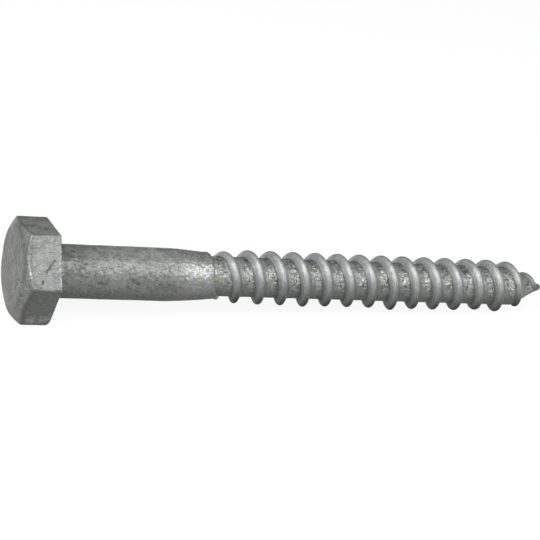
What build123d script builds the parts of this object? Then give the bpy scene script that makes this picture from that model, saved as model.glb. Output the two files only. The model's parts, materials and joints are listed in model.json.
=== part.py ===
from build123d import *
import os
from math import atan, cos, degrees, hypot, radians, sin, tan

# Hex-head coach screw, M10 x 100: one forging with a plain shank, a rolled wood thread and a gimlet
# point. It lies as it comes to rest, on one flat of its head and on the thread.

# ---- driving dimensions, in millimetres and degrees ----

# hexagon head
across_flats = 17.0
head_height = 6.7
head_corner_radius = 0.4
end_face_diameter = 15.2
end_chamfer_angle = 30.0

# shank and neck
length = 98.9  # from the bearing face to the tip
shank_diameter = 9.55
under_head_bevel = 0.4
neck_length = 7.8
neck_diameter = 8.4

# wood thread, right-hand
pitch = 4.5
thread_turns = 14
thread_diameter = 9.8
core_diameter = 7.2
crest_width = 0.7
ridge_width = 2.7
ridge_overlap = 0.1  # how far the ridge is sunk into the core
thread_angle = 143.0  # from the flat that it lies on to the start of the thread

# gimlet point
point_length = 7.7  # from the end of the full thread to the tip
core_cone_length = 7.1
point_crest_diameter = 4.3
nib_length = 1.7
nib_root_diameter = 2.1
nib_end_diameter = 1.0
nib_end_bevel = 0.2
run_out_angle = 49.0

# ---- places along the screw's axis, from its bearing face towards the tip ----

thread_end = length - point_length
thread_start = thread_end - thread_turns * pitch
neck_end = thread_start + pitch / 4
neck_start = neck_end - neck_length
run_in_start = neck_end + 0.4 * pitch
run_in_end = run_in_start + 0.6 * pitch
cone_start = length - core_cone_length
nib_start = length - nib_length
run_out_apex = nib_start + 0.4 * nib_length

shank_radius = shank_diameter / 2
neck_radius = neck_diameter / 2
thread_radius = thread_diameter / 2
core_radius = core_diameter / 2
nib_root_radius = nib_root_diameter / 2
nib_end_radius = nib_end_diameter / 2
end_face_radius = end_face_diameter / 2
ridge_height = thread_radius - core_radius + ridge_overlap
free_radius = 1.1 * thread_radius  # clear of every crest


def ridge_outline(crest_radius, place, share):
    """Corners of the ridge's section, as (radius, place), at a share of its full size."""
    flank_slope = (ridge_width - crest_width) / 2 / (thread_radius - core_radius)
    half_crest = share * crest_width / 2
    half_base = share * (ridge_width / 2 + flank_slope * ridge_overlap)
    base_radius = crest_radius - share * ridge_height
    return [
        (base_radius, place - half_base),
        (crest_radius, place - half_crest),
        (crest_radius, place + half_crest),
        (base_radius, place + half_base),
    ]


# ---- head: a hexagon with rounded corners, chamfered all round its end face ----

chamfer_reach = across_flats
chamfer_depth = (chamfer_reach - end_face_radius) * tan(radians(end_chamfer_angle))

with BuildPart() as head:
    with BuildSketch(Plane.XY.offset(-head_height)):
        RegularPolygon(across_flats / 2, 6, major_radius=False, rotation=30 - thread_angle)
    extrude(amount=head_height)
    fillet(head.edges().filter_by(Axis.Z), head_corner_radius)
    with BuildSketch(Plane.YZ):
        with BuildLine():
            Polyline(
                (0, 0),
                (0, -head_height),
                (end_face_radius, -head_height),
                (chamfer_reach, chamfer_depth - head_height),
                (chamfer_reach, 0),
                close=True,
            )
        make_face()
    revolve(axis=Axis.Z, mode=Mode.INTERSECT)

# ---- blank: shank, curved neck, core, core cone and nib, in one turned outline ----

with BuildPart() as blank:
    with BuildSketch(Plane.YZ):
        with BuildLine():
            Polyline((0, 0), (shank_radius + under_head_bevel, 0), (shank_radius, under_head_bevel))
            Line((shank_radius, under_head_bevel), (shank_radius, neck_start))
            TangentArc((shank_radius, neck_start), (neck_radius, neck_end), tangent=(0, 1))
            Polyline(
                (neck_radius, neck_end),
                (core_radius, neck_end + neck_radius - core_radius),
                (core_radius, cone_start),
                (nib_root_radius, nib_start),
                (nib_end_radius, length - nib_end_bevel),
                (nib_end_radius - nib_end_bevel, length),
                (0, length),
                (0, 0),
            )
        make_face()
    revolve(axis=Axis.Z)

# ---- one full turn of the thread's ridge, swept along a helix ----

with BuildPart() as ridge_turn:
    with BuildLine() as turn_path:
        Helix(pitch=pitch, height=pitch, radius=thread_radius)
    with BuildSketch(Plane.XZ):
        with BuildLine():
            Polyline(*ridge_outline(thread_radius, 0, 1), close=True)
        make_face()
    sweep(path=turn_path.wire(), is_frenet=True)

# ---- the ridge on the point: it narrows along a helix that closes in on the nib ----

point_ridge_length = nib_start - thread_end
crest_cone_angle = degrees(atan((thread_radius - point_crest_diameter / 2) / point_ridge_length))

with BuildPart() as ridge_point:
    with BuildLine() as point_path:
        Helix(
            pitch=pitch / cos(radians(crest_cone_angle)),
            height=point_ridge_length,
            radius=thread_radius,
            cone_angle=-crest_cone_angle,
        )
    path_end = point_path.wire() @ 1
    end_radius = hypot(path_end.X, path_end.Y)
    end_share = (end_radius - nib_root_radius + ridge_overlap) / ridge_height
    end_outward = (path_end.X, path_end.Y, 0)
    end_forward = (path_end.Y, -path_end.X, 0)
    with BuildSketch(Plane.XZ):
        with BuildLine():
            Polyline(*ridge_outline(thread_radius, 0, 1), close=True)
        make_face()
    with BuildSketch(Plane((0, 0, 0), x_dir=end_outward, z_dir=end_forward)):
        with BuildLine():
            Polyline(*ridge_outline(end_radius, path_end.Z, end_share), close=True)
        make_face()
    sweep(path=point_path.wire(), multisection=True, is_frenet=True)

# ---- limits of the crest, which rises out of the neck and dies away above the nib ----

with BuildPart() as crest_limits:
    with BuildSketch(Plane.YZ):
        with BuildLine():
            Polyline(
                (0, 0),
                (neck_radius, 0),
                (neck_radius, run_in_start),
                (free_radius, run_in_end),
                (free_radius, thread_end),
                (core_radius, run_out_apex - core_radius / tan(radians(run_out_angle))),
                (0, run_out_apex),
                close=True,
            )
        make_face()
    revolve(axis=Axis.Z)

with BuildPart() as run_in:
    with Locations((0, 0, thread_start), (0, 0, thread_start + pitch)):
        add(ridge_turn.part)
    add(crest_limits.part, mode=Mode.INTERSECT)

with BuildPart() as run_out:
    with Locations((0, 0, thread_end)):
        add(ridge_point.part)
    add(crest_limits.part, mode=Mode.INTERSECT)

# ---- the whole screw, upright on its own axis ----

with BuildPart() as upright:
    add(head.part)
    add(blank.part)
    add(run_in.part)
    with Locations([(0, 0, thread_start + turn * pitch) for turn in range(2, thread_turns)]):
        add(ridge_turn.part)
    add(run_out.part)

# ---- at rest: on a flat of the head and the last full crest, with the tip along +X ----

low_crest = thread_end - pitch * thread_angle / 360
low_edge = low_crest + crest_width / 2
tilt = degrees(atan((across_flats / 2 - thread_radius) / low_edge))
head_reach = head_height * cos(radians(tilt)) + end_face_radius * sin(radians(tilt))
tip_reach = length * cos(radians(tilt)) + (nib_end_radius - nib_end_bevel) * sin(radians(tilt))
bearing_face_centre = ((head_reach - tip_reach) / 2, 0, across_flats / 2 * cos(radians(tilt)))

laid_down = Location(bearing_face_centre, (0, 90 + tilt, 0))
rolled_to_flat = Location((0, 0, 0), (0, 0, thread_angle))

with BuildPart() as coach_screw:
    with Locations(laid_down * rolled_to_flat):
        add(upright.part)

coach_screw.part.label = "coach_screw"
os.makedirs("parts", exist_ok=True)
export_step(coach_screw.part, "parts/coach_screw.step")
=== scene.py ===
import json
import math

import bpy
import numpy as np
from mathutils import Matrix, Vector, noise


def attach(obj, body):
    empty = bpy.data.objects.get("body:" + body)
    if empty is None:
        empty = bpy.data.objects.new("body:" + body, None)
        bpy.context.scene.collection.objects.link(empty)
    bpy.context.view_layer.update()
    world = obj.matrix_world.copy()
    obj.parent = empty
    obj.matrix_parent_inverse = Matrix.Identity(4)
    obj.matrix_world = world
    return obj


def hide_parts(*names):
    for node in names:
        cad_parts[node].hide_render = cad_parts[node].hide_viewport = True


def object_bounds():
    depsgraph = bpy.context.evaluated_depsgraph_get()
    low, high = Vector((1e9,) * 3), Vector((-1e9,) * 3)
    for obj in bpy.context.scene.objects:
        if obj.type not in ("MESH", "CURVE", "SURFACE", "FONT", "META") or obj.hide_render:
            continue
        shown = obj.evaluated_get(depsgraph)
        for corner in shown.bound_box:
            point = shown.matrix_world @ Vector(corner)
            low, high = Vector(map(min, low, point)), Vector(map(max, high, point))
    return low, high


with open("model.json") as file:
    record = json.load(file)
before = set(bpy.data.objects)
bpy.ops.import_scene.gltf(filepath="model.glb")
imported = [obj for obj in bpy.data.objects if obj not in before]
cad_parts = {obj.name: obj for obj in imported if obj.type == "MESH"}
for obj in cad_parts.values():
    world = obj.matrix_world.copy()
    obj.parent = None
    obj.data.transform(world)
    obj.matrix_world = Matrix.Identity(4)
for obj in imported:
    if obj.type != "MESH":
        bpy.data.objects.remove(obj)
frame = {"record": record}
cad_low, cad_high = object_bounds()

MM = 0.001

# ---- the screw's own axis, from the record's mounts ----
mounts = {m["name"]: m for m in frame["record"]["mounts"]}
UNDER_HEAD_BEVEL = 0.4  # the shank's mount starts this far from the bearing face
forward = np.array(mounts["shank"]["axis"])
forward /= np.linalg.norm(forward)
sideways = np.array([0.0, 1.0, 0.0])
upward = np.cross(forward, sideways)
shank_start = np.array(mounts["shank"]["pos_m"]) - forward * mounts["shank"]["dims"]["length_mm"] / 2 * MM
bearing_centre = shank_start - forward * UNDER_HEAD_BEVEL * MM

# ---- sizes in millimetres: the solid's, with this forging's own slack and lean ----

# head; an offset is up and to the rear of the axis
HEAD_BACK = 6.5
ACROSS_FLATS = 16.7
CORNER_RADIUS = 0.35
HEXAGON_TURN = math.radians(-0.86)
HEXAGON_OFF = (-0.125, 0.105)
END_FACE_RADIUS = 7.49
END_FACE_OFF = (0.18, 0.34)
CHAMFER = math.radians(28)

# shank, neck and the rolled lip behind it, which lies further along at the underside
LENGTH = 98.9
SHANK_RADIUS = 4.775
NECK_START, NECK_END = 21.07, 29.87
NECK_RADIUS = 4.2
NECK_CURVE = 1.54
LIP, LIP_REACH, LIP_CURVE = 29.3, 2.8, 4.3

# thread
PITCH = 4.5
THREAD_START, THREAD_END = 28.2, 90.6
THREAD_ANGLE = 143.0
CORE_RADIUS = 3.6
LOWEST_CREST = THREAD_START - PITCH * THREAD_ANGLE / 360
UNEVEN_TURNS = {4.94: 0.16, 8.94: 0.3, 12.94: -0.2}  # how much higher the crest is at that turn
UNEVEN_REACH = 0.09  # in turns

# along the axis: where the crest bends off its helix, rises in two steps, falls and fades
RUN_IN_END, RUN_IN_BEND = 35.0, -0.9
RUN_OUT_START, RUN_OUT_BEND = 83.5, -0.065
FIRST_RISE, FIRST_HEIGHT = (29.9, 32.5), 0.985
SECOND_RISE, SECOND_HEIGHT = (34.85, 35.5), 0.465
FULL_CREST = 4.98
NARROW_START = 88
BROAD_AT_POINT = (93.2, 95.4)
FADE_START = 95.9
POINT_LIMIT, POINT_LIMIT_SLOPE = 98.5, 1.15

# the ridge's section, on its side towards the head and on its side towards the tip
RIDGE_REACH = (0.9, 0.8)
STEEP_FROM = (0.84, 0.8)  # where the rounded crest turns into the flank, as a share of the reach
FLANK_SLOPE = (1.548, 1.333)
RIDGE_HEIGHT = 1.55
NO_RIDGE = 9.0  # further than any ridge reaches

# point
CONE_START = 92.45
NIB_START = 97.15
NIB_ROOT_RADIUS, NIB_END_RADIUS = 1.07, 0.45
NIB_BEND = 0.16

# how high the zinc's lumps, its grain and the dross between the ridges stand
LUMP_HEIGHT, GRAIN_HEIGHT, DROSS_HEIGHT = 0.03, 0.01, 0.09

COLUMNS = 144  # points in each ring
CROWDING = 0.72  # how far the head's columns crowd towards its corners


def smooth_max(a, b, k):
    return (a + b + np.sqrt((a - b) ** 2 + k * k)) / 2


def smooth_min(a, b, k):
    return (a + b - np.sqrt((a - b) ** 2 + k * k)) / 2


def ramp(x, low, high):
    """0 below low, 1 above high, smooth between."""
    s = np.clip((x - low) / (high - low), 0, 1)
    return s * s * (3 - 2 * s)


def hump(x, width):
    """1 where x is 0, fading to both sides within about the width."""
    return np.exp(-((x / width) ** 2))


# ---- hexagon head ----


def hexagon_side(angle):
    """The hexagon's side, up and to the rear of the axis. Angle 0 is the middle of the flat below."""
    a = np.abs((angle + math.pi / 6) % (math.pi / 3) - math.pi / 6)
    apothem = ACROSS_FLATS / 2
    centre = (apothem - CORNER_RADIUS) / math.cos(math.pi / 6)
    off = math.pi / 6 - a
    under = np.maximum(CORNER_RADIUS**2 - (centre * np.sin(off)) ** 2, 0)
    rounded = centre * np.cos(off) + np.sqrt(under)
    tangent = math.atan((apothem - CORNER_RADIUS) * math.tan(math.pi / 6) / apothem)
    radius = np.where(a > tangent, rounded, apothem / np.cos(a))
    return circle(radius, angle + HEXAGON_TURN, HEXAGON_OFF)


def circle(radius, angle, off=(0.0, 0.0)):
    """Up and to the rear of the axis. Angle 0 is straight down."""
    return -np.cos(angle) * radius + off[0], np.sin(angle) * radius + off[1]


def rounded_outline(corners, radii, counts, bend_count):
    """Rows of points along a polyline for each column, with each inner corner rounded."""
    rows = []
    start = corners[0]
    for i in range(1, len(corners)):
        end = corners[i]
        if i < len(corners) - 1:
            back = corners[i - 1] - end
            on = corners[i + 1] - end
            back /= np.linalg.norm(back, axis=-1, keepdims=True)
            on /= np.linalg.norm(on, axis=-1, keepdims=True)
            bend_in, bend_out = end + back * radii[i - 1], end + on * radii[i - 1]
        else:
            bend_in, bend_out = end, None
        for k in range(counts[i - 1]):
            rows.append(start + (bend_in - start) * k / counts[i - 1])
        if bend_out is None:
            rows.append(end)
        else:
            for k in range(bend_count):
                s = k / bend_count
                rows.append((1 - s) ** 2 * bend_in + 2 * s * (1 - s) * end + s * s * bend_out)
            start = bend_out
    return rows


def corner(place, across):
    """One row of points: along the axis, up and to the rear."""
    return np.stack(np.broadcast_arrays(place, *across), -1).astype(float)


even = np.arange(COLUMNS) * 2 * math.pi / COLUMNS
sector = even * 6 / (2 * math.pi)
from_flat = (sector + 0.5) % 1.0 - 0.5
crowded = even + math.radians(30) * CROWDING * np.sin(2 * math.pi * from_flat) / math.pi
side = hexagon_side(crowded)
from_face = np.hypot(side[0] - END_FACE_OFF[0], side[1] - END_FACE_OFF[1])
chamfer_width = np.maximum(from_face - END_FACE_RADIUS, 0.12)
upper_rim = corner(-HEAD_BACK + chamfer_width * math.tan(CHAMFER), side)
lower_rim = corner(0.0, side)
from_below = np.abs((even + math.pi) % (2 * math.pi) - math.pi)
lower_corners = hump(from_below - math.radians(30), math.radians(10))
# rows out over the end face, down the chamfer, along the sides, in under the head and on to the shank
head_rows = rounded_outline(
    [
        corner(-HEAD_BACK, circle(0.35, crowded, END_FACE_OFF)),
        corner(-HEAD_BACK, circle(END_FACE_RADIUS, crowded, END_FACE_OFF)),
        upper_rim,
        lower_rim,
        corner(0.0, circle(SHANK_RADIUS, even)),
        corner(1.2, circle(SHANK_RADIUS, even)),
    ],
    [0.7 * chamfer_width[:, None], 0.22, 0.25 + 0.6 * lower_corners[:, None], 0.45],
    [17, 4, 15, 9, 2],
    5,
)

# ---- shank, neck, thread and point ----


def lip_place(angle):
    """Where the rolled lip lies along the axis."""
    return LIP + LIP_REACH * ((1 + np.cos(angle)) / 2) ** LIP_CURVE


def blank_radius(t, angle):
    """The turned outline under the thread, with the rolled lip."""
    narrowing = np.clip(t - NECK_START, 0, None) / (NECK_END - NECK_START)
    drop = (SHANK_RADIUS - NECK_RADIUS) * narrowing**NECK_CURVE
    body = SHANK_RADIUS - drop
    cone = CORE_RADIUS + (NIB_ROOT_RADIUS - CORE_RADIUS) * (t - CONE_START) / (NIB_START - CONE_START)
    core = smooth_min(CORE_RADIUS, cone, 0.15)
    nib = NIB_ROOT_RADIUS + (NIB_END_RADIUS - NIB_ROOT_RADIUS) * (t - NIB_START) / (LENGTH - NIB_START)
    core = smooth_max(core, np.minimum(nib, NIB_ROOT_RADIUS + 0.5), 0.12)
    below = (1 + np.cos(angle)) / 2
    step = lip_place(angle)
    rolled = (0.1 + 0.1 * below) * hump(t - step + 0.1, 0.4)
    shoulder = body + rolled - ramp(t, step + 0.15, step + 0.75) * 3
    return smooth_max(np.where(t > step - 2, shoulder, body), core, 0.12)


def thread(t, angle):
    """The ridge's radius at each point, how far the point is past the crest, and how far beyond its foot."""
    line = THREAD_START + PITCH * (np.degrees(angle) - THREAD_ANGLE) / 360
    crest_line = line + np.round((t - line) / PITCH) * PITCH
    run_in = RUN_IN_BEND * (np.clip(RUN_IN_END - crest_line, 0, None) / PITCH) ** 2
    run_out = RUN_OUT_BEND * (np.clip(crest_line - RUN_OUT_START, 0, None) / PITCH) ** 2
    off = t - crest_line - run_in - run_out
    rise = CORE_RADIUS + FIRST_HEIGHT * ramp(crest_line, *FIRST_RISE)
    rise = rise + SECOND_HEIGHT * ramp(crest_line, *SECOND_RISE)
    past_end = np.clip(crest_line - THREAD_END, 0, None)
    fading = np.clip(crest_line - FADE_START, 0, None)
    fall = FULL_CREST - 0.3 * past_end - 0.02 * past_end**2 - 0.5 * fading**2
    crest = np.where(crest_line < THREAD_START + 0.5, -NO_RIDGE, smooth_min(rise, fall, 0.12))
    turns = (crest_line - LOWEST_CREST) / PITCH
    for turn, gain in UNEVEN_TURNS.items():
        crest = crest + gain * hump(turns - turn, UNEVEN_REACH)
    share = np.where(crest_line > NARROW_START, np.clip((crest - 0.9) / 4.0, 0.35, 1), 1.0)
    share = np.where(off < 0, share, 1 + ramp(crest_line, *BROAD_AT_POINT))
    across = np.where(off < 0, -off / RIDGE_REACH[0], off / RIDGE_REACH[1]) / share
    steep = np.where(off < 0, *STEEP_FROM)
    slope = np.where(off < 0, *FLANK_SLOPE)
    round_top = 1 - np.sqrt(1 - np.minimum(across, steep) ** 2)
    flank = (across - steep).clip(0) * slope
    drop = RIDGE_HEIGHT * (round_top + flank)
    at_steep = 1 - np.sqrt(1 - steep**2)
    limit = np.minimum((POINT_LIMIT - t) * POINT_LIMIT_SLOPE, NO_RIDGE)
    ridge = smooth_min(crest - drop, limit, 0.3)
    foot = steep + ((crest - CORE_RADIUS) / RIDGE_HEIGHT - at_steep) / slope
    beyond_foot = np.where(crest > CORE_RADIUS + 0.5, (across - foot) * RIDGE_REACH[0] * share, NO_RIDGE)
    return ridge, off, beyond_foot


# rows lie closer together on the thread than on the shank, and closer still on the nib
body_places = np.concatenate(
    [
        np.arange(1.5, 27.0, 0.42),
        np.arange(27.0, NIB_START, 0.147),
        np.arange(NIB_START, LENGTH - NIB_BEND, 0.12),
    ]
)
row_place, column_angle = np.meshgrid(body_places, even, indexing="ij")
base = blank_radius(row_place, column_angle)
ridge, off, beyond_foot = thread(row_place, column_angle)
root_blend = np.where(off < 0, 0.18, 0.18 + 0.4 * ramp(off, 0.2, 0.8) * (1 - ramp(off, 1.8, 2.2)))
body_radius = smooth_max(base, ridge, root_blend) - root_blend**2 / (4 * (np.abs(base - ridge) + root_blend))
body_radius = np.where(ridge < base - 3, base, body_radius)
in_thread = ramp(row_place, NECK_END + 0.2, NECK_END + 1.0)
in_thread = in_thread * (1 - ramp(row_place, NIB_START - 0.6, NIB_START))
above = ramp(-np.cos(column_angle), -0.5, 0.25)
# a shallow groove at each ridge's foot on its side towards the head; the same share paints shade into it
crevice = in_thread * (0.6 + 0.4 * above) * (off < 0) * hump(beyond_foot - 0.12, 0.09)
body_radius = body_radius - 0.05 * crevice

# ---- how the zinc lies, and where shade is painted: each named share is 0 to 1 at every point of the surface ----
coat = {}
between = np.where(off < 0, 1 - ramp(ridge - base, -0.6, 0.0), ramp(off, 1.6, 2.2))
coat["root"] = in_thread * above * between
coat["ridge"] = in_thread * np.where(off < 0, ramp(ridge - base, -0.25, 0.0), ramp(ridge - base, -1.2, -0.1))
coat["towards_head"] = in_thread * ramp(ridge - base, -0.1, 0.1) * (1 - ramp(off, -0.7, 0.2))
coat["crevice"] = crevice
past_neck = ramp(row_place, NECK_END, NECK_END + 0.6)
coat["neck"] = ramp(row_place, NECK_START + 0.5, NECK_START + 4.5) * (1 - past_neck)
lip_line = lip_place(column_angle)
ring_1 = hump(row_place - lip_line + 0.15, 0.14)
ring_2 = hump(row_place - lip_line - 0.55, 0.14)
coat["ring"] = ring_1 + 0.7 * ring_2
coat["nib"] = ramp(row_place, NIB_START - 0.8, NIB_START + 0.4)
# shares for painted shade: on the thread's top side, and on the shank's top next to the head, where the head
# shades it
coat["top_side"] = in_thread * ramp(-np.cos(column_angle), 0.7, 0.98)
coat["by_head"] = (1 - ramp(row_place, 4.0, 13.0)) * ramp(-np.cos(column_angle), 0.0, 0.6)

even_rows = np.array(head_rows)
on_side = even_rows[:, :, 0] > upper_rim[:, 0] + 0.02
to_upper = np.linalg.norm(even_rows - upper_rim, axis=-1)
to_lower = np.linalg.norm(even_rows - lower_rim, axis=-1)
to_edge = (0.5 - np.abs(from_flat)) * ACROSS_FLATS / math.sqrt(3)
near_edge = hump(to_edge, 0.3) * (even_rows[:, :, 0] < 0)
head_coat = {}
rims = on_side * hump(to_upper - 0.3, 0.28) + hump(to_lower, 0.45)
in_front = ramp(even_rows[:, :, 1], -1.0, 0.5) * (1 - ramp(even_rows[:, :, 1], 7.7, 8.1))
head_coat["rim_dark"] = on_side * hump(to_upper - 0.62, 0.16)
from_end_face = even_rows[:, :, 0] + HEAD_BACK
head_coat["chamfer"] = ramp(from_end_face, 0.02, 0.1) * (1 - on_side)
head_coat["end_rim"] = hump(from_end_face - 0.08, 0.1)
# glints painted along the head's edges, on its front side, where the lamps light them
head_coat["rim_light"] = in_front * np.minimum(rims + 0.6 * near_edge * on_side, 1)
head_coat["end_face"] = 1 - ramp(from_end_face, 0.05, 0.5)
head_coat["flat"] = on_side * (even_rows[:, :, 0] < 0.02)

# ---- one closed mesh: rings of points from the end face to the tip ----
rings = list(head_rows)
for i in range(len(body_places)):
    rings.append(corner(row_place[i], circle(body_radius[i], even)))
for step in (30, 60):
    a = math.radians(step)
    place = LENGTH - NIB_BEND + NIB_BEND * math.sin(a)
    rings.append(corner(place, circle(NIB_END_RADIUS - NIB_BEND * (1 - math.cos(a)), even)))
rings.append(corner(LENGTH, circle(0.25, even)))
rings = np.array(rings)

shares = {}
for name in [*coat, *head_coat]:
    shares[name] = np.zeros(rings.shape[:2])
    if name in coat:
        shares[name][len(head_rows) : len(head_rows) + len(body_places)] = coat[name]
    else:
        shares[name][: len(head_rows)] = head_coat[name]
shares["nib"][len(head_rows) + len(body_places) :] = 1.0


def in_space(mm):
    """Millimetres along the axis, up and to the rear of it, to metres in the frame."""
    return bearing_centre + (mm[..., :1] * forward + mm[..., 1:2] * upward + mm[..., 2:] * sideways) * MM


points = in_space(rings)
row_count = len(points)

along = np.gradient(points, axis=0)
around = np.roll(points, -1, axis=1) - np.roll(points, 1, axis=1)
normals = np.cross(around, along)
normals /= np.maximum(np.linalg.norm(normals, axis=-1, keepdims=True), 1e-12)
outward = in_space(rings * (1, 2, 2)) - points
if (normals * outward).sum() < 0:
    normals = -normals

# shares by which way the surface faces; they paint shade on the underside and on the top sides, and roughen
# the underside
shares["under"] = ramp(-normals[..., 2], -0.6, 0.1)
shares["deep_under"] = ramp(-normals[..., 2], -0.1, 0.9)
shares["upper"] = ramp(normals[..., 2], 0.7, 1.0)

flat_points = points.reshape(-1, 3) / MM
lump = np.empty(len(flat_points))
grain = np.empty(len(flat_points))
crumbs = np.empty(len(flat_points))
for i, p in enumerate(flat_points):
    v = Vector(p)
    lump[i] = noise.noise(v * 0.35) + 0.5 * noise.noise(v * 0.9 + Vector((7, 3, 1)))
    grain[i] = noise.noise(v * 2.2 + Vector((3, 9, 5)))
    crumbs[i] = noise.noise(v * 1.9 + Vector((11, 2, 8))) + 0.6 * noise.noise(v * 3.6)
lump = lump.reshape(row_count, COLUMNS)
grain = grain.reshape(row_count, COLUMNS)
crumbs = crumbs.reshape(row_count, COLUMNS)
height = LUMP_HEIGHT * lump + GRAIN_HEIGHT * grain + shares["root"] * DROSS_HEIGHT * crumbs
points = points + normals * (height * MM)[..., None]

vertices = [tuple(p) for p in points.reshape(-1, 3)]
end_pole = len(vertices)
vertices.append(tuple(points[0].mean(axis=0)))
tip_pole = len(vertices)
vertices.append(tuple(points[-1].mean(axis=0)))
faces = []
for i in range(row_count - 1):
    low, high = i * COLUMNS, (i + 1) * COLUMNS
    for j in range(COLUMNS):
        k = (j + 1) % COLUMNS
        faces.append((low + j, high + j, high + k, low + k))
last = (row_count - 1) * COLUMNS
for j in range(COLUMNS):
    k = (j + 1) % COLUMNS
    faces.append((end_pole, j, k))
    faces.append((tip_pole, last + k, last + j))

mesh = bpy.data.meshes.new("galvanised_coach_screw")
mesh.from_pydata(vertices, [], faces)
mesh.validate()
for name, share in shares.items():
    attribute = mesh.attributes.new(name, "FLOAT", "POINT")
    attribute.data.foreach_set("value", np.append(share.reshape(-1), [share[0].mean(), share[-1].mean()]))
mesh.polygons.foreach_set("use_smooth", [True] * len(mesh.polygons))
screw = bpy.data.objects.new("galvanised_coach_screw", mesh)
bpy.context.scene.collection.objects.link(screw)
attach(screw, "root")
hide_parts("coach_screw")

# ---- hot-dip zinc ----
material = bpy.data.materials.new("hot_dip_zinc")
material.use_nodes = True
nodes, links = material.node_tree.nodes, material.node_tree.links
nodes.clear()


def node(kind, **values):
    made = nodes.new(kind)
    for name, value in values.items():
        setattr(made, name, value)
    return made


def feed(socket, value):
    """Sets a socket to a number or colour, or links another node's output to it."""
    if isinstance(value, bpy.types.NodeSocket):
        links.new(value, socket)
    else:
        socket.default_value = value


def fill(made, **values):
    for name, value in values.items():
        feed(made.inputs[name.replace("_", " ")], value)
    return made


def maths(operation, a, b=0.0, clamp=False):
    made = node("ShaderNodeMath", operation=operation, use_clamp=clamp)
    feed(made.inputs[0], a)
    feed(made.inputs[1], b)
    return made.outputs[0]


def remap(value, low, high, to_low=0.0, to_high=1.0):
    made = node("ShaderNodeMapRange", interpolation_type="SMOOTHSTEP")
    fill(made, Value=value, From_Min=low, From_Max=high, To_Min=to_low, To_Max=to_high)
    return made.outputs["Result"]


def times(a, b):
    return maths("MULTIPLY", a, b)


def plus(a, b):
    return maths("ADD", a, b)


def minus(a, b):
    return maths("SUBTRACT", a, b)


def most(a, b):
    return maths("MAXIMUM", a, b)


def blend(share, a, b):
    made = node("ShaderNodeMix", data_type="RGBA")
    feed(made.inputs[0], share)
    feed(made.inputs[6], a if isinstance(a, bpy.types.NodeSocket) else (*a, 1))
    feed(made.inputs[7], b if isinstance(b, bpy.types.NodeSocket) else (*b, 1))
    return made.outputs[2]


def tint(under, share, strength, colour):
    """Lays a colour over what is under it where the share is 1, at that strength."""
    return blend(times(share, strength), under, colour)


def painted(name):
    """One of the mesh's named shares."""
    return node("ShaderNodeAttribute", attribute_name=name).outputs["Fac"]


def noise_texture(size_mm, detail=2.0, roughness=0.5, distortion=0.0, shift=0.0, stretch=(1, 1, 1)):
    """Noise with features of about that size, in the screw's own space."""
    moved = node("ShaderNodeMapping")
    fill(moved, Vector=coordinates, Location=(shift, shift, shift), Scale=stretch)
    made = node("ShaderNodeTexNoise")
    fill(made, Vector=moved.outputs[0], Scale=1 / (size_mm * MM), Detail=detail)
    fill(made, Roughness=roughness, Distortion=distortion)
    return made.outputs["Fac"]


def vector_maths(operation, *values):
    made = node("ShaderNodeVectorMath", operation=operation)
    for i in range(len(values)):
        feed(made.inputs["Scale" if operation == "SCALE" and i == 1 else i], values[i])
    return made.outputs["Value" if operation in ("DOT_PRODUCT", "DISTANCE") else "Vector"]


def mark(start, end, reach):
    """1 along the line between two places, given as in_space takes them, and 0 beyond the reach."""
    start, end = Vector(in_space(np.array(start))), Vector(in_space(np.array(end)))
    line = end - start
    from_start = vector_maths("SUBTRACT", ragged, start)
    share = vector_maths("DOT_PRODUCT", from_start, line / line.length_squared)
    nearest = vector_maths("SCALE", line, maths("ADD", share, clamp=True))
    return remap(vector_maths("DISTANCE", from_start, nearest), 0.4 * reach * MM, reach * MM, 1.0, 0.0)


coordinates = node("ShaderNodeTexCoord").outputs["Object"]
surface = node("ShaderNodeOutputMaterial")
shader = node("ShaderNodeBsdfPrincipled")
links.new(shader.outputs["BSDF"], surface.inputs["Surface"])

in_root = painted("root")
on_ridge = painted("ridge")
on_neck = painted("neck")
broad = noise_texture(6.0, 2, 0.5, 0.3)
patchy = noise_texture(2.2, 4, 0.65, 0.6, shift=0.31)
flaky = noise_texture(0.75, 3, 0.6, 0.9, shift=0.17)
fine = noise_texture(0.28, 3, 0.65, 0.2, shift=0.53)
dashes = noise_texture(0.5, 3, 0.6, 0.7, shift=0.77, stretch=(0.45, 1, 1))
wander = node("ShaderNodeTexNoise")
fill(wander, Vector=coordinates, Scale=1 / (0.4 * MM), Detail=1.0)
ragged = vector_maths("ADD", coordinates, vector_maths("SCALE", wander.outputs["Color"], 0.3 * MM))
ragged = vector_maths("SUBTRACT", ragged, Vector((0.15, 0.15, 0.15)) * MM)

# the plain dull coat
zinc = blend(remap(patchy, 0.36, 0.64), (0.215, 0.22, 0.208), (0.36, 0.37, 0.35))
zinc = blend(remap(broad, 0.4, 0.6, 0.0, 0.35), zinc, (0.29, 0.295, 0.28))
zinc = blend(remap(dashes, 0.56, 0.66, 0.0, 0.7), zinc, (0.12, 0.12, 0.11))
pale = remap(flaky, 0.54, 0.66, 0.0, 0.6)
zinc = blend(pale, zinc, (0.48, 0.49, 0.47))
cool = noise_texture(3.0, 1, 0.5, 0.5, shift=0.93)
zinc = blend(remap(cool, 0.55, 0.7, 0.0, 0.35), zinc, (0.26, 0.28, 0.34))
warm = noise_texture(3.4, 1, 0.5, 0.5, shift=0.45)
zinc = blend(remap(warm, 0.55, 0.7, 0.0, 0.25), zinc, (0.30, 0.29, 0.23))
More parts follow.
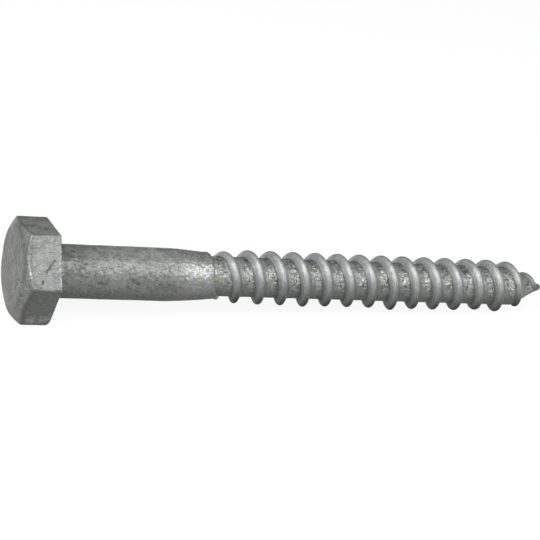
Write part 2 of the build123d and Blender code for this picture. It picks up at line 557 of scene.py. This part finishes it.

# a brighter, smoother coat on the ridges and the neck, with a painted highlight on each ridge's flank
# towards the head and painted shade on its side towards the point
smooth_zinc = blend(remap(patchy, 0.36, 0.64), (0.53, 0.54, 0.535), (0.69, 0.70, 0.69))
smooth_zinc = blend(remap(fine, 0.55, 0.7, 0.0, 0.35), smooth_zinc, (0.3, 0.305, 0.3))
smooth_zinc = blend(remap(cool, 0.5, 0.66, 0.0, 0.4), smooth_zinc, (0.47, 0.49, 0.58))
smooth_zinc = blend(remap(warm, 0.5, 0.66, 0.0, 0.35), smooth_zinc, (0.54, 0.54, 0.44))
streaks = noise_texture(0.5, 3, 0.6, 0.3, shift=0.61, stretch=(1, 0.35, 0.35))
smooth_zinc = blend(remap(streaks, 0.5, 0.66, 0.0, 0.3), smooth_zinc, (0.32, 0.33, 0.33))
# painted highlight on each ridge's flank towards the head
lit_flank = times(painted("towards_head"), remap(flaky, 0.36, 0.6, 1.0, 0.5))
smooth_zinc = tint(smooth_zinc, lit_flank, 0.9, (0.9, 0.92, 0.935))
smooth_share = most(times(on_ridge, 0.9), times(on_neck, 0.7))
zinc = blend(smooth_share, zinc, smooth_zinc)
# painted shade on each ridge's crest and side towards the point
shaded_point_side = times(on_ridge, minus(1.0, painted("towards_head")))
zinc = tint(zinc, shaded_point_side, 0.36, (0.15, 0.15, 0.15))

# crusty dross between the ridges, with painted shade in dark specks on their upper side
crust = noise_texture(0.6, 3, 0.6, 0.8, shift=0.17)
dross = blend(remap(crust, 0.38, 0.6), (0.06, 0.065, 0.065), (0.64, 0.65, 0.63))
dross = blend(remap(patchy, 0.4, 0.6, 0.0, 0.6), dross, (0.3, 0.305, 0.3))
zinc = blend(times(in_root, 0.85), zinc, dross)
# painted shade: dark specks on the upper side of the roots
root_top_shade = times(times(in_root, painted("upper")), remap(flaky, 0.35, 0.6))
zinc = tint(zinc, root_top_shade, 0.6, (0.07, 0.075, 0.075))

# streaks over the end face, painted shade on it and a darker tone on the flats, and fine grain everywhere
drawn = noise_texture(0.6, 3, 0.6, 0.4, shift=0.83, stretch=(1, 1, 0.3))
zinc = blend(times(painted("end_face"), remap(drawn, 0.48, 0.66, 0.0, 0.4)), zinc, (0.2, 0.2, 0.2))
# painted shade on the end face; the flats a little darker all over
end_face_shade_and_flat_tone = most(times(painted("end_face"), 0.55), times(painted("flat"), 0.22))
zinc = blend(end_face_shade_and_flat_tone, zinc, (0.13, 0.13, 0.13))
grains = node("ShaderNodeTexNoise")
fill(grains, Vector=coordinates, Scale=1 / (0.22 * MM), Detail=2.0, Roughness=0.6)
zinc = blend(remap(grains.outputs["Fac"], 0.42, 0.6, 0.22, 0.0), zinc, (0.1, 0.1, 0.1))
zinc = blend(remap(grains.outputs["Fac"], 0.55, 0.68, 0.0, 0.2), zinc, (0.62, 0.63, 0.61))

# glints painted along the head's lit edges and on its chamfer, dark flecks on the rims, painted shade in the
# crevice at each ridge's foot, the turned rings, the bare nib, and painted shade on the underside and the
# top sides
speckle = remap(noise_texture(0.4, 2, 0.6, 0.4, shift=0.21), 0.45, 0.58)
speckle = times(speckle, remap(patchy, 0.4, 0.56))
# painted glints on the head's edges; the same share also lowers the roughness and raises the bump
glinting = times(painted("rim_light"), speckle)
zinc = tint(zinc, glinting, 0.85, (0.85, 0.87, 0.83))
broken = times(painted("rim_dark"), remap(flaky, 0.36, 0.55))
zinc = tint(zinc, broken, 0.65, (0.07, 0.07, 0.065))
end_rim = times(painted("end_rim"), remap(patchy, 0.42, 0.6))
zinc = tint(zinc, end_rim, 0.55, (0.08, 0.08, 0.075))
chamfer_spots = times(painted("chamfer"), remap(flaky, 0.5, 0.62))
zinc = tint(zinc, chamfer_spots, 0.5, (0.09, 0.09, 0.08))
# painted glints on the chamfer
chamfer_glints = remap(noise_texture(0.4, 2, 0.6, 0.4, shift=0.67), 0.58, 0.66)
chamfer_glints = times(painted("chamfer"), chamfer_glints)
zinc = tint(zinc, chamfer_glints, 0.45, (0.7, 0.72, 0.7))
# painted shade in the crevice at each ridge's foot
zinc = tint(zinc, painted("crevice"), 0.8, (0.06, 0.062, 0.06))
zinc = tint(zinc, painted("ring"), 0.35, (0.12, 0.12, 0.115))
zinc = tint(zinc, painted("nib"), 0.7, (0.15, 0.145, 0.11))
# painted shade: darker towards the underside, more so on the ridges and the neck
smooth = most(on_ridge, times(on_neck, 0.65))
painted_underside_shade = times(painted("under"), plus(times(smooth, 0.27), 0.28))
deep = times(painted("deep_under"), plus(times(smooth, 0.36), 0.13))
zinc = blend(plus(painted_underside_shade, deep), zinc, (0.05, 0.05, 0.047))
# painted shade on the neck's top, on the shank's top next to the head and on the ridges' top side
painted_top_shade = times(on_neck, 0.25)
painted_top_shade = most(times(painted_top_shade, painted("upper")), times(painted("by_head"), 0.25))
painted_top_shade = most(painted_top_shade, times(times(on_ridge, painted("top_side")), 0.42))
zinc = blend(painted_top_shade, zinc, (0.07, 0.07, 0.066))

# single marks: places in mm along the screw from the bearing face, up from its axis and to the rear
scratch = mark((-1.3, 4.5, -6.9), (-2.7, 2.8, -7.9), 0.24)
zinc = tint(zinc, scratch, 0.8, (0.07, 0.07, 0.075))
hairline_bend = (-3.9, 6.38, -5.74)
hairline = mark((-5.58, 6.1, -5.9), hairline_bend, 0.16)
hairline = most(hairline, mark(hairline_bend, (-2.4, 7.4, -5.1), 0.14))
zinc = tint(zinc, hairline, 0.5, (0.1, 0.1, 0.09))
pits_low_on_flat = mark((-4.6, 0.4, -9.3), (-3.2, 0.4, -9.35), 0.4)
pits_low_on_flat = times(pits_low_on_flat, remap(flaky, 0.42, 0.55))
zinc = tint(zinc, pits_low_on_flat, 0.7, (0.06, 0.06, 0.06))
pale_patch = mark((-3.4, -7.2, -5.5), (-0.9, -6.4, -6.0), 1.5)
pale_patch = times(pale_patch, remap(flaky, 0.4, 0.56))
zinc = tint(zinc, pale_patch, 0.45, (0.55, 0.56, 0.55))
pit_on_flat = mark((-3.5, 1.0, -8.95), (-3.4, 1.3, -8.8), 0.3)
zinc = tint(zinc, pit_on_flat, 0.8, (0.04, 0.04, 0.04))
rust_spot = mark((20.7, 1.4, -4.6), (20.9, 1.3, -4.6), 0.55)
zinc = tint(zinc, rust_spot, 0.4, (0.22, 0.145, 0.11))
stain_by_head = mark((2.3, 4.1, -2.4), (2.7, 3.9, -2.7), 0.6)
zinc = tint(zinc, stain_by_head, 0.55, (0.16, 0.12, 0.05))
pit_by_head = mark((3.2, 4.5, -1.7), (3.5, 4.4, -1.8), 0.35)
zinc = tint(zinc, pit_by_head, 0.8, (0.05, 0.045, 0.035))
knocks = mark((13.5, 0.8, -4.7), (15.3, -0.1, -4.8), 0.5)
knocks = times(knocks, remap(fine, 0.42, 0.56))
zinc = tint(zinc, knocks, 0.85, (0.06, 0.06, 0.075))
long_dash = mark((7.6, -0.3, -4.8), (9.4, -0.4, -4.8), 0.3)
zinc = tint(zinc, long_dash, 0.6, (0.1, 0.1, 0.09))
stain_by_neck = mark((30.3, 1.4, -3.5), (30.4, 0.7, -3.6), 0.6)
zinc = tint(zinc, stain_by_neck, 0.45, (0.3, 0.25, 0.1))
rust_near_point = mark((76.2, 3.1, -1.9), (76.05, 2.4, -2.7), 0.5)
zinc = tint(zinc, rust_near_point, 0.4, (0.28, 0.19, 0.1))
feed(shader.inputs["Base Color"], zinc)
shine = most(times(on_neck, 0.3), times(in_root, 0.15))
feed(shader.inputs["Metallic"], plus(shine, 0.25))
fill(shader, Specular_IOR_Level=0.4)

coat_roughness = remap(patchy, 0.35, 0.65, 0.27, 0.42)
coat_roughness = plus(coat_roughness, remap(fine, 0.3, 0.7, -0.05, 0.07))
coat_roughness = minus(coat_roughness, times(in_root, 0.08))
coat_roughness = minus(coat_roughness, times(on_neck, 0.06))
coat_roughness = plus(coat_roughness, times(on_ridge, 0.1))
coat_roughness = minus(coat_roughness, times(glinting, 0.12))
coat_roughness = plus(coat_roughness, times(painted("deep_under"), 0.35))
feed(shader.inputs["Roughness"], coat_roughness)

facets = node("ShaderNodeTexVoronoi", feature="SMOOTH_F1")
fill(facets, Vector=coordinates, Scale=1 / (0.85 * MM), Smoothness=0.25)
relief = times(noise_texture(1.3, 3, 0.55, 0.8, shift=0.37), 0.12)
relief = plus(relief, times(facets.outputs["Distance"], 0.13))
relief = plus(relief, times(fine, 0.025))
relief = minus(relief, times(remap(dashes, 0.56, 0.68), 0.05))
calmer = most(times(on_ridge, 0.45), times(painted("flat"), 0.6))
relief = times(relief, minus(1.0, calmer))
relief = plus(relief, times(times(in_root, crust), 0.12))
relief = plus(relief, times(glinting, 0.05))
for dent in (scratch, pit_on_flat, pit_by_head, knocks, long_dash):
    relief = minus(relief, times(dent, 0.06))
bump = fill(node("ShaderNodeBump"), Strength=1.0, Distance=MM, Height=relief)
feed(shader.inputs["Normal"], bump.outputs["Normal"])
mesh.materials.append(material)

# ---- floor, light and camera ----
FLOOR_HALF = 4.0  # metres
FLOOR_LEVEL = 0.92  # how white the floor is to the camera and in reflections
WORLD_LEVEL = 0.03
LAMP_DISTANCE = 0.8
LAMP_SIDE = 0.45

floor_mesh = bpy.data.meshes.new("floor")
floor_corners = [(x * FLOOR_HALF, y * FLOOR_HALF, 0) for x, y in ((-1, -1), (1, -1), (1, 1), (-1, 1))]
floor_mesh.from_pydata(floor_corners, [], [(0, 1, 2, 3)])
floor = bpy.data.objects.new("floor", floor_mesh)
floor.location.z = cad_low.z
bpy.context.scene.collection.objects.link(floor)

pale = bpy.data.materials.new("pale_floor")
pale.use_nodes = True
nodes, links = pale.node_tree.nodes, pale.node_tree.links
nodes.clear()
surface = node("ShaderNodeOutputMaterial")
diffuse = node("ShaderNodeBsdfDiffuse")
fill(diffuse, Color=(0.12, 0.12, 0.12, 1))
glow = node("ShaderNodeEmission")
fill(glow, Color=(1, 1, 1, 1))
path = node("ShaderNodeLightPath")
seen = plus(path.outputs["Is Camera Ray"], path.outputs["Is Glossy Ray"])
seen = maths("ADD", seen, path.outputs["Is Transmission Ray"], clamp=True)
feed(glow.inputs["Strength"], times(seen, FLOOR_LEVEL))
both = node("ShaderNodeAddShader")
links.new(diffuse.outputs[0], both.inputs[0])
links.new(glow.outputs[0], both.inputs[1])
links.new(both.outputs[0], surface.inputs["Surface"])
floor_mesh.materials.append(pale)

world = bpy.data.worlds.new("studio")
world.use_nodes = True
bpy.context.scene.world = world
nodes, links = world.node_tree.nodes, world.node_tree.links
fill(nodes["Background"], Color=(1, 1, 1, 1), Strength=WORLD_LEVEL)


def soft_lamp(name, along, lift, watts, colour=(1.0, 1.0, 1.0)):
    """A square soft box, turned from square-on towards the tip and lifted from level in front."""
    along, lift = math.radians(along), math.radians(lift)
    towards = Vector((math.sin(along), -math.cos(along) * math.cos(lift), math.cos(along) * math.sin(lift)))
    data = bpy.data.lights.new(name, "AREA")
    data.size = LAMP_SIDE
    data.energy = watts
    data.color = colour
    lamp = bpy.data.objects.new(name, data)
    lamp.location = towards * LAMP_DISTANCE
    lamp.rotation_euler = (-towards).to_track_quat("-Z", "Y").to_euler()
    bpy.context.scene.collection.objects.link(lamp)


COOL = (0.955, 1.0, 0.985)
soft_lamp("over_the_head", -60, 75, 1.0)
soft_lamp("overhead", -30, 72, 2.2)
soft_lamp("left", -62, 30, 1.8, COOL)
soft_lamp("front_left", -30, 50, 1.3, COOL)
soft_lamp("front", 0, 50, 1.5, COOL)
soft_lamp("front_right", 32, 48, 1.8, COOL)
soft_lamp("low_right", 32, 25, 1.6, COOL)

# the camera, as fitted to the photo's outline: its axes in space, and its place
camera_data = bpy.data.cameras.new("camera")
camera = bpy.data.objects.new("camera", camera_data)
bpy.context.scene.collection.objects.link(camera)
camera_data.lens = 129.93
camera_data.sensor_width = 36.0
camera_data.clip_start = 0.01
right = Vector((0.9260765, -0.35189234, 0.13621339))
down = Vector((-0.0044433, -0.37113181, -0.92856957))
away = Vector((0.37730964, 0.85932122, -0.34526001))
axes = Matrix((right, -down, -away)).transposed()
camera.matrix_world = Matrix.Translation(Vector((-0.1384274, -0.3057920, 0.1312529))) @ axes.to_4x4()
bpy.context.scene.camera = camera
bpy.context.scene.view_settings.view_transform = "Standard"
